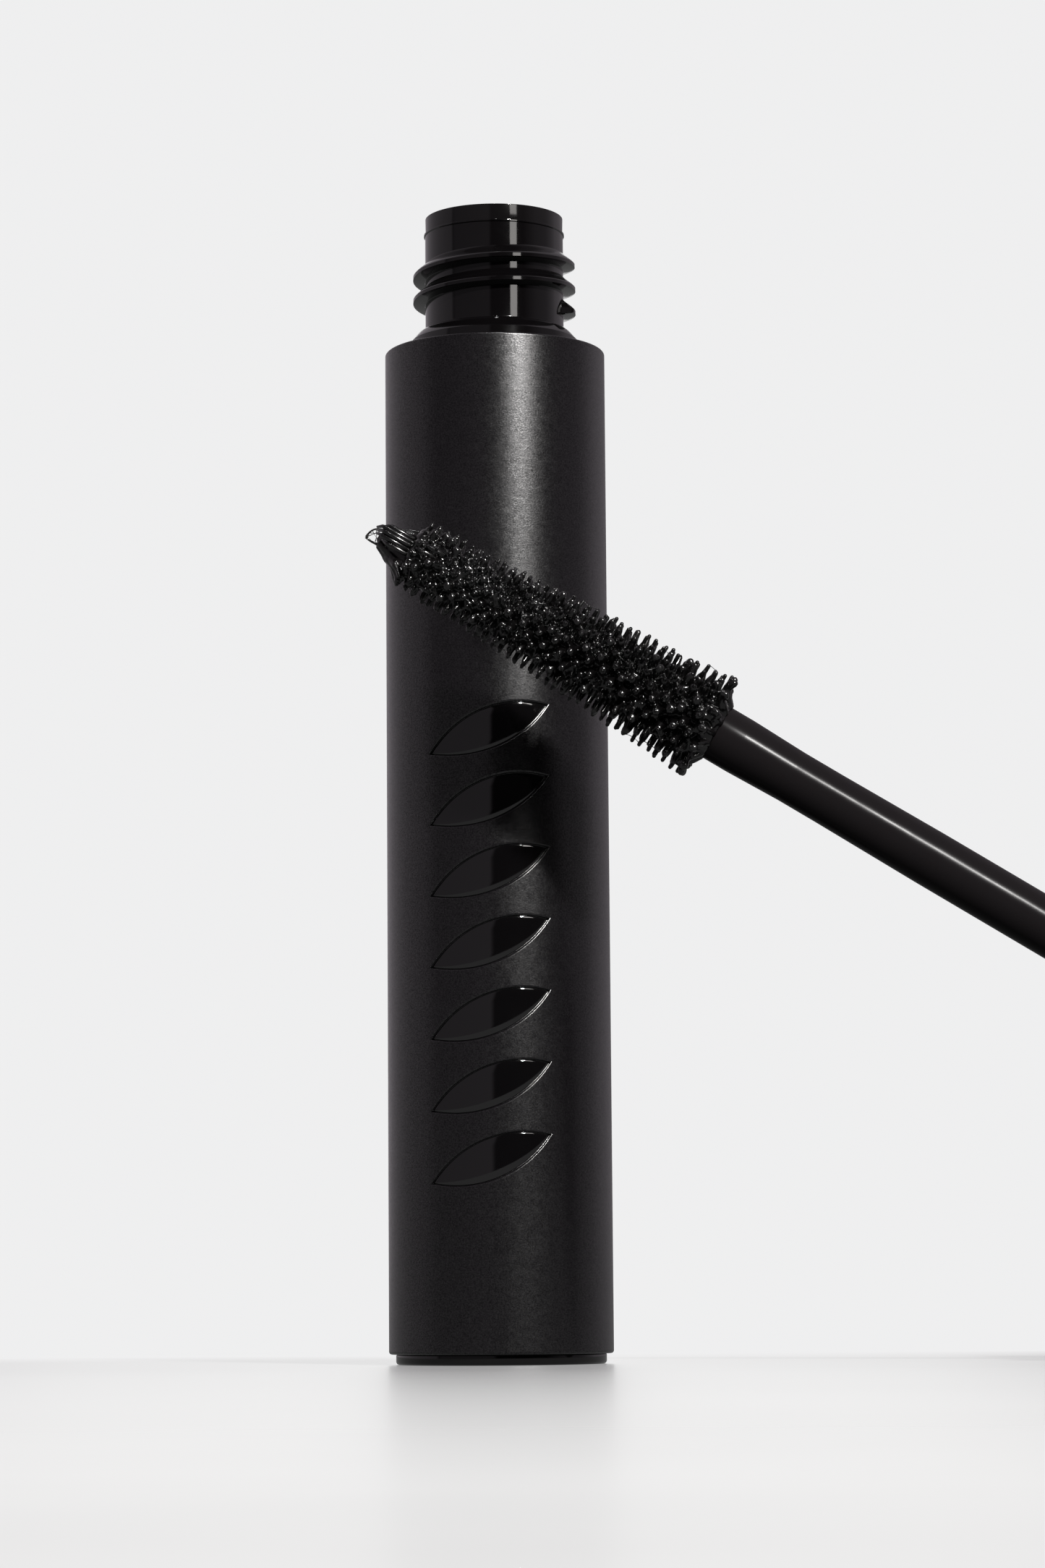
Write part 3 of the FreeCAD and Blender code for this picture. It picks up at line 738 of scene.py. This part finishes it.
# under the hood, where it runs out between the first bristles: degrees round the axis
HOOD_FINGERS = (172, 184, 160, 146)
SIDE_BLOBS, END_BLOBS, JOINED_SHARE = 130, 40, 0.07
VOXEL_MM, QUICK_VOXEL_MM = 0.09, 0.13
LUMP_SIZE, LUMP_PUSH = 1.1, 0.24
# strands from the tip to the hood: (degrees round the axis, distance, radius, sag)
HOOD_STRANDS = ((0, 4.2, 2.0, 0.1), (14, 4.9, 2.3, 0.02), (-12, 4.6, 2.1, 0.16), (30, 4.3, 2.0, -0.05))
# smooth runs of paste along the hood's front: (height, distance, length, distance in front)
RUNS = ((0.75, 1.7, 2.0, 1.75), (0.42, 1.3, 2.9, 1.95), (0.1, 1.5, 2.7, 2.05), (-0.25, 1.5, 2.2, 1.9),
        (-0.6, 2.2, 2.0, 1.75), (0.2, 4.6, 1.3, 2.6), (0.75, 5.3, 1.2, 2.7), (-0.3, 5.7, 1.0, 2.6))
RUN_SLOPE = Vector((0.04, -0.158, 1.0))


def around(degrees, radius, s):
    """A point round the brush's axis; 0 degrees is above it, 90 in front."""
    a = math.radians(degrees)
    return Vector((radius * math.cos(a), radius * math.sin(a), s))


def tube(bm, stations, sides=7):
    """A round tube through (centre, radius) stations, closed at both ends."""
    rings, u = [], None
    for i, (centre, radius) in enumerate(stations):
        after, before = stations[min(i + 1, len(stations) - 1)][0], stations[max(i - 1, 0)][0]
        d = (after - before).normalized()
        u = (d.orthogonal() if u is None else u - d * u.dot(d)).normalized()
        v = d.cross(u)
        turns = [2 * math.pi * k / sides for k in range(sides)]
        rings.append([bm.verts.new(centre + (u * math.cos(a) + v * math.sin(a)) * radius)
                      for a in turns])
    for a, b in zip(rings, rings[1:]):
        for k in range(sides):
            j = (k + 1) % sides
            bm.faces.new((a[k], a[j], b[j], b[k]))
    bm.faces.new(rings[0][::-1])
    bm.faces.new(rings[-1])


def pin(bm, foot, end, r_foot, r_end, sides=7):
    """A tapered pin with a rounded end."""
    length = (end - foot).length
    shape = ((0.0, r_foot), (0.5, (r_foot + r_end) / 2), (1 - r_end / length, r_end),
             (1 - 0.45 * r_end / length, r_end * 0.84), (1 - 0.12 * r_end / length, r_end * 0.45),
             (1.0, r_end * 0.1))
    tube(bm, [(foot.lerp(end, t), r) for t, r in shape], sides)


def thread(bm, a, b, sag, radius, thick=2.0):
    """A drawn-out strand of paste, thicker where it leaves the two ends."""
    steps = 10
    stations = []
    for i in range(steps + 1):
        t = i / steps
        belly = 4 * t * (1 - t)
        stations.append((a.lerp(b, t) + sag * belly, radius * (1 + (thick - 1) * (1 - belly) ** 2)))
    tube(bm, stations, 6)


def mesh_from(bm, name):
    """The finished mesh of a bmesh, still in the brush's own millimetres."""
    mesh = bpy.data.meshes.new(name)
    bm.to_mesh(mesh)
    bm.free()
    return mesh


def add_lathe(bm, path, segments):
    """Adds an outline turned about the axis to a mesh under construction."""
    points, faces = lathe(path, segments=segments)
    verts = [bm.verts.new(p) for p in points]
    for f in faces:
        if len({points[i] for i in f}) == 4:
            bm.faces.new([verts[i] for i in f])


def bristle_lines():
    """Foot and end of every bristle, in rings; every other ring is turned by half a gap."""
    lines = []
    for i in range(RING_COUNT):
        s = RING_FIRST + i * RING_STEP
        for k in range(PER_RING):
            angle = 360.0 * (k + (i % 2) / 2) / PER_RING + rng.normal(0, 1.5)
            reach = table(REACH, s) + rng.normal(0, 0.07)
            drift, lean = rng.normal(0, 1.4), rng.normal(0, 0.08)
            lines.append((around(angle, 1.0, s), around(angle + drift, reach, s + lean)))
    return lines


def build_bristles(bristles):
    """Every bristle as a round-ended pin, on a core that widens towards the stem."""
    bm = bmesh.new()
    for foot, end in bristles:
        pin(bm, foot, end, BRISTLE_FOOT_R, BRISTLE_END_R)
    core = outline((AXIS_R, 1.2), (0.6, 1.2, 0.3), (1.0, 2.4), (1.5, BRUSH_L - 1), (2.1, BRUSH_L),
                   (AXIS_R, BRUSH_L))
    add_lathe(bm, core, CORE_SEGMENTS)
    mesh = mesh_from(bm, "bristles")
    mesh.transform(WAND @ Matrix.Scale(MM, 4))
    finish_piece("bristles", mesh, "wand", BRISTLE, BRISTLE_CREASE, ["brush"])


# ---------------------------------------------------------------- the paste on the brush
def flattened(p):
    return Vector((p.x, p.y * HOOD_FLATNESS, p.z))


def paste_radius(s):
    return table(REACH, s) - table(SHORT_OF_ENDS, s)


def add_paste_core(bm):
    """The paste's body between the bristles."""
    levels = np.linspace(RING_FIRST, LAST_RING + 0.1, PASTE_LEVELS)
    skin = [(paste_radius(s), float(s)) for s in levels]
    end = BRUSH_L + 0.05
    add_lathe(bm, [(AXIS_R, RING_FIRST)] + skin + [(2.32, end), (AXIS_R, end)], PASTE_SEGMENTS)


def add_collars(bm, bristles):
    """A collar of paste up every bristle, thickest in front, and paste over the last ring."""
    for foot, end in bristles:
        s = foot.z
        outward = Vector((end.x, end.y, 0)).normalized()
        collar = outward * (paste_radius(s) - 0.35) + Vector((0, 0, s))
        facing = max(0.0, outward.y)
        wet = min(1.0, max(0.45, rng.normal(0.8 + 0.1 * facing, 0.16)))
        thick = abs(rng.normal(0, 0.05)) + 0.12 * facing
        pin(bm, collar, collar.lerp(end, wet), 0.4 + thick, 0.22 + thick, 8)
        if s > LAST_RING - 0.1:
            root = outward * 2.25 + Vector((0, 0, BRUSH_L - 0.05))
            tube(bm, [(root, 0.3), (foot.lerp(end, 0.8), 0.22)], 8)
            pin(bm, foot.lerp(end, 0.6), end * 1.01, 0.3, 0.36, 8)


def add_blobs(bm):
    """Lumps of paste along the brush, most of them in front, and on its end by the stem."""
    for _ in range(SIDE_BLOBS):
        s = rng.uniform(5.0, BRUSH_L - 1.5)
        angle = rng.normal(90, 75)
        radius = paste_radius(s)
        size = rng.uniform(0.5, 0.8)
        end = around(angle + rng.uniform(-14, 14), radius + rng.uniform(0.1, 0.4),
                     s + rng.uniform(-0.9, 0.9))
        pin(bm, around(angle, radius - 0.2, s), end, size, size * 0.8, 8)
    for _ in range(END_BLOBS):
        angle, radius = rng.uniform(0, 360), rng.uniform(2.2, 3.7)
        size = rng.uniform(0.28, 0.45)
        end = around(angle, radius, LAST_RING + rng.uniform(0.3, 0.9))
        pin(bm, around(angle, radius, LAST_RING - 0.6), end, size, size * 0.9, 8)


def add_hood(bm):
    """The flattened cone of paste over the tip, with shallow ribs along it."""
    first = len(bm.verts)
    tube(bm, [(Vector((x, 0, s)), r) for s, x, r in HOOD], HOOD_SEGMENTS)
    bm.verts.ensure_lookup_table()
    for v in bm.verts[first:]:
        v.co = flattened(v.co)
    for k in range(HOOD_RIBS):
        angle = 360.0 / HOOD_RIBS * k + rng.uniform(-9, 9)
        rib = [(flattened(around(angle + rng.uniform(-5, 5), r, s)) + Vector((x, 0, 0)), 0.2)
               for s, x, r in HOOD[1:5]]
        tube(bm, rib, 8)
    for angle in HOOD_FINGERS:
        tube(bm, [(around(180, 1.2, 1.9), 0.2), (around(angle, 2.0, 3.4), 0.25),
                  (around(angle, 2.95, 4.35), 0.2)], 8)


def melted(bm):
    """One skin over all the parts of a mesh, softened and pushed into lumps, as a new bmesh."""
    raw = bpy.data.objects.new("paste_raw", mesh_from(bm, "paste_raw"))
    bpy.context.scene.collection.objects.link(raw)
    remesh = raw.modifiers.new("weld", "REMESH")
    remesh.mode = "VOXEL"
    remesh.voxel_size = VOXEL_MM
    relax = raw.modifiers.new("relax", "SMOOTH")
    relax.factor, relax.iterations = 0.5, 6
    lumps = bpy.data.textures.new("lumps", "CLOUDS")
    lumps.noise_scale, lumps.noise_depth = LUMP_SIZE, 1
    push = raw.modifiers.new("lumps", "DISPLACE")
    push.texture, push.strength, push.mid_level = lumps, LUMP_PUSH, 0.5
    skin = bpy.data.meshes.new_from_object(raw.evaluated_get(bpy.context.evaluated_depsgraph_get()))
    bpy.data.objects.remove(raw)
    bm = bmesh.new()
    bm.from_mesh(skin)
    bpy.data.meshes.remove(skin)
    return bm


def build_paste(bristles):
    """The wet coat: body, collars, blobs and hood under one skin, and the strands on top."""
    bm = bmesh.new()
    add_paste_core(bm)
    add_collars(bm, bristles)
    add_blobs(bm)
    add_hood(bm)
    bm = melted(bm)
    add_tip_loop(bm)
    add_runs(bm)
    add_joined_ends(bm, bristles)
    paste = mesh_from(bm, "paste_body")
    paste.transform(WAND @ Matrix.Scale(MM, 4))
    finish_piece("paste_body", paste, "wand", PASTE, PASTE_CREASE,
                 ["paste_coat", "paste_tail"])


def add_tip_loop(bm):
    """The open loop at the very tip, and the strands that run back from it over the hood."""
    top, nose, under = Vector((0.42, 0.1, 1.15)), Vector((-0.8, 0.05, 0.17)), Vector((-0.85, 0.1, 1.25))
    thread(bm, top, nose, Vector((0.22, 0, -0.28)), 0.08, 1.7)
    thread(bm, nose, under, Vector((-0.08, 0, -0.05)), 0.1, 1.6)
    thread(bm, top, nose, Vector((0.0, 0.16, 0.0)), 0.03)
    thread(bm, Vector((0.14, 0.1, 0.55)), Vector((-0.75, 0.12, 1.0)), Vector((0.05, 0.05, 0.05)), 0.03)
    thread(bm, Vector((-0.35, 0.1, 0.3)), Vector((-0.15, 0.1, 1.3)), Vector((0.1, 0.05, 0)), 0.025)
    thread(bm, Vector((-0.1, 0.15, 0.35)), Vector((-0.55, 0.2, 1.3)), Vector((-0.06, 0, 0)), 0.02)
    for angle, s, reach, sag in HOOD_STRANDS:
        thread(bm, around(angle, 0.62, 1.5), around(angle * 1.5, reach, s), Vector((sag, 0.1, 0)),
               0.07, 1.8)


def add_runs(bm):
    """Smooth runs of paste along the front of the hood, that rise from it and sink back."""
    for height, s, length, stand in RUNS:
        near = Vector((height, stand, s))
        far = near + RUN_SLOPE * length
        tube(bm, [(Vector((height * 0.7, 0.75, s - 0.7)), 0.1), (near - Vector((0, 0.2, 0.25)), 0.15),
                  (near, 0.19), (near.lerp(far, 0.5), 0.21), (far, 0.19),
                  (far + Vector((0, -0.25, 0.3)), 0.15), (far + Vector((0, -0.9, 0.7)), 0.1)], 14)


def add_joined_ends(bm, bristles):
    """Fine strands of paste between some bristle ends and an end one or two rings on."""
    tips = {}
    for foot, end in bristles:
        tips.setdefault(round((foot.z - RING_FIRST) / RING_STEP), []).append(end)
    for ring, ends in tips.items():
        for end in ends:
            ahead = [e for n in (1, 2) for e in tips.get(ring + n, []) if 0.5 < (e - end).length < 1.7]
            if ahead and rng.random() < JOINED_SHARE:
                other = ahead[int(rng.integers(len(ahead)))]
                middle = end.lerp(other, 0.5)
                inward = -Vector((middle.x, middle.y, 0)).normalized() * rng.uniform(-0.05, 0.3)
                thread(bm, end * 0.985 + Vector((0, 0, end.z * 0.015)),
                       other * 0.985 + Vector((0, 0, other.z * 0.015)), inward,
                       rng.uniform(0.018, 0.032), 3.0)


build_sleeve()
build_inlays()
build_bottle()
build_wiper()
build_foot()
build_fill()
build_stem()
build_cap()
build_liner()
build_washer()
build_weight()
brush_lines = bristle_lines()
build_bristles(brush_lines)
build_paste(brush_lines)


# ---------------------------------------------------------------- stage, lights, camera
BACKDROP = (0.862, 0.862, 0.866)
FLOOR_HALF = 3.0
FLOOR_TONE, FLOOR_MOTTLE = 0.12, 0.02
FLOOR_MIRROR, FLOOR_ROUGH = 0.98, 0.24
# from the camera's side to the object, in metres along Y, and the values at both ends
# painted light: the floor glows, its emission rising from the camera's side towards the object
FLOOR_PAINTED_GLOW = (-0.28, -0.05, 0.55, 0.8)
FLOOR_SHARE = (-0.25, -0.03, 0.1, 0.72)
FLOOR_FADE = (0.03, 0.07, 0.0, 1.0)
# share of the plain floor, by the Y of the direction to the eye; it is -1 straight in front
FLOOR_PLAIN = (-0.93, -0.8, 0.0, 1.0)
FLOOR_SHARE_ROUND, FLOOR_PAINT_ROUND = 0.3, 0.5
FLOOR_SEEN_BY_OBJECT = 0.2
# tone of the surround that the object mirrors, at degrees round it from the camera's side
SURROUND = ((-180, 0.87), (-174, 0.8), (-168, 0.4), (-130, 0.37), (-98, 0.32), (-76, 0.28),
            (-72, 0.08), (-68, 0.125), (-9, 0.13), (-5, 0.008), (50, 0.008), (62, 0.08), (75, 0.15),
            (97, 0.18), (122, 0.36), (150, 0.26), (170, 0.2), (174, 0.8), (180, 0.87))
SURROUND_TINT, TINTED_WITHIN = (1.06, 0.97, 1.05), 174
LIGHT_AIM, LIGHT_AWAY = Vector((0, 0, 0.06)), 0.6
CAMERA_PLACE, CLIP_START = (0.0, -0.37355, 0.00512), 0.01
SENSOR_MM, LENS_MM = 36, 100.69
PITCH_UP, YAW, ROLL = 0.1178, 0.0057, -0.0075


def build_stage():
    """Pale floor, its paleness mostly a painted glow that rises towards the object, that fades into the
    backdrop's tone, and is plain from the other sides.
    """
    mesh = bpy.data.meshes.new("floor")
    corners = [(x * FLOOR_HALF, y * FLOOR_HALF, 0) for x, y in ((-1, -1), (1, -1), (1, 1), (-1, 1))]
    mesh.from_pydata(corners, [], [(0, 1, 2, 3)])
    floor = bpy.data.objects.new("floor", mesh)
    bpy.context.scene.collection.objects.link(floor)
    mat, add, link, shader = material("pale_floor")
    where = add("TexCoord").outputs["Object"]
    ramp = add("ValToRGB", Fac=noise(add, where, 14, 3))
    ramp.color_ramp.elements[0].color = grey(FLOOR_TONE - FLOOR_MOTTLE)
    ramp.color_ramp.elements[1].color = grey(FLOOR_TONE + FLOOR_MOTTLE)
    link(ramp.outputs[0], shader.inputs["Base Color"])
    shader.inputs["Specular IOR Level"].default_value = 0.0
    shader.inputs["Roughness"].default_value = 1.0
    shader.inputs["Emission Color"].default_value = grey(1.0)
    near = add("SeparateXYZ", Vector=where).outputs["Y"]
    # painted light: the floor's brightness is an emission that rises towards the object
    link(span(add, near, *FLOOR_PAINTED_GLOW), shader.inputs["Emission Strength"])
    mirror = add("BsdfAnisotropic", distribution="MULTI_GGX", Color=grey(FLOOR_MIRROR),
                 Roughness=FLOOR_ROUGH)
    base = add("MixShader", Fac=span(add, near, *FLOOR_SHARE))
    link(shader.outputs[0], base.inputs[1])
    link(mirror.outputs[0], base.inputs[2])
    away = add("Emission", Color=tinted(*BACKDROP), Strength=1.0)
    mix = add("MixShader", Fac=span(add, near, *FLOOR_FADE))
    link(base.outputs[0], mix.inputs[1])
    link(away.outputs[0], mix.inputs[2])
    plain = add("MixShader", Fac=FLOOR_SHARE_ROUND)
    link(away.outputs[0], plain.inputs[1])
    link(add("BsdfDiffuse", Color=grey(FLOOR_PAINT_ROUND)).outputs[0], plain.inputs[2])
    facing = add("SeparateXYZ", Vector=add("NewGeometry").outputs["Incoming"]).outputs["Y"]
    view = add("MixShader", Fac=span(add, facing, *FLOOR_PLAIN))
    link(mix.outputs[0], view.inputs[1])
    link(plain.outputs[0], view.inputs[2])
    # painted light: what the object mirrors of the floor is a flat glow
    dim = add("Emission", Color=grey(1.0), Strength=FLOOR_SEEN_BY_OBJECT)
    seen = add("MixShader", Fac=add("LightPath").outputs["Is Camera Ray"])
    link(dim.outputs[0], seen.inputs[1])
    link(view.outputs[0], seen.inputs[2])
    out = next(n for n in mat.node_tree.nodes if n.type == "OUTPUT_MATERIAL")
    link(seen.outputs[0], out.inputs[0])
    mesh.materials.append(mat)


def placed_light(name, azimuth, elevation, width, height, radiance, colour):
    """A rectangular light seen from the tube at an azimuth right of the camera, facing the tube."""
    a, e = math.radians(azimuth), math.radians(elevation)
    towards = Vector((math.sin(a) * math.cos(e), -math.cos(a) * math.cos(e), math.sin(e)))
    data = bpy.data.lights.new(name, "AREA")
    data.shape, data.size, data.size_y = "RECTANGLE", width, height
    data.energy, data.color = radiance * math.pi * width * height, colour
    light = bpy.data.objects.new(name, data)
    bpy.context.scene.collection.objects.link(light)
    place = LIGHT_AIM + towards * LIGHT_AWAY
    light.location = place
    light.rotation_mode = "QUATERNION"
    light.rotation_quaternion = (place - LIGHT_AIM).to_track_quat("Z", "Y")


def build_world():
    """Even backdrop for the camera; for the object a surround that is dark on the camera's side."""
    world = bpy.data.worlds.new("studio")
    bpy.context.scene.world = world
    world.use_nodes = True
    tree = world.node_tree
    tree.nodes.clear()

    def add(kind):
        return tree.nodes.new("ShaderNode" + kind)

    out, sky = add("OutputWorld"), add("Background")
    split, spin, ramp = add("SeparateXYZ"), add("Math"), add("ValToRGB")
    path, mix = add("LightPath"), add("Mix")
    tree.links.new(add("TexCoord").outputs["Generated"], split.inputs[0])
    flip, turn = add("Math"), add("MapRange")
    flip.operation = "MULTIPLY"
    flip.inputs[1].default_value = -1.0
    tree.links.new(split.outputs["Y"], flip.inputs[0])
    spin.operation = "ARCTAN2"
    tree.links.new(split.outputs["X"], spin.inputs[0])
    tree.links.new(flip.outputs[0], spin.inputs[1])
    turn.inputs["From Min"].default_value = -math.pi
    turn.inputs["From Max"].default_value = math.pi
    tree.links.new(spin.outputs[0], turn.inputs["Value"])
    tree.links.new(turn.outputs["Result"], ramp.inputs[0])
    ramp.color_ramp.interpolation = "LINEAR"
    stops = ramp.color_ramp.elements
    while len(stops) > 1:
        stops.remove(stops[-1])
    stops[0].position = 0.0
    stops[0].color = grey(SURROUND[0][1])
    for degrees, tone in SURROUND[1:]:
        tint = SURROUND_TINT if abs(degrees) < TINTED_WITHIN else (1, 1, 1)
        stops.new((degrees + 180) / 360).color = tinted(*(tone * c for c in tint))
    mix.data_type = "RGBA"
    tree.links.new(path.outputs["Is Camera Ray"], mix.inputs["Factor"])
    tree.links.new(ramp.outputs[0], mix.inputs[6])
    mix.inputs[7].default_value = tinted(*BACKDROP)
    tree.links.new(mix.outputs[2], sky.inputs[0])
    tree.links.new(sky.outputs[0], out.inputs[0])


def build_camera():
    """Camera low in front of the object, looking up at it by PITCH_UP radians."""
    data = bpy.data.cameras.new("camera")
    camera = bpy.data.objects.new("camera", data)
    bpy.context.scene.collection.objects.link(camera)
    bpy.context.scene.camera = camera
    data.sensor_width, data.lens, data.clip_start = SENSOR_MM, LENS_MM, CLIP_START
    camera.location = CAMERA_PLACE
    ahead = Vector((math.sin(YAW) * math.cos(PITCH_UP), math.cos(YAW) * math.cos(PITCH_UP),
                    math.sin(PITCH_UP)))
    right = Vector((math.cos(YAW), -math.sin(YAW), 0))
    up = right.cross(ahead)
    c, s = math.cos(ROLL), math.sin(ROLL)
    right, up = right * c + up * s, up * c - right * s
    camera.rotation_mode = "QUATERNION"
    camera.rotation_quaternion = Matrix((right, up, -ahead)).transposed().to_quaternion()


build_stage()
build_world()
placed_light("strip", 32.3, 22.5, 0.115, 0.19, 5.2, (1, 0.965, 0.94))
placed_light("key", 26.2, 28.0, 0.036, 0.036, 1500.0, (1, 0.985, 0.97))
placed_light("top", 5.0, 56, 0.03, 0.03, 180.0, (1, 1, 1))
build_camera()

bpy.context.scene.view_settings.view_transform = "Standard"
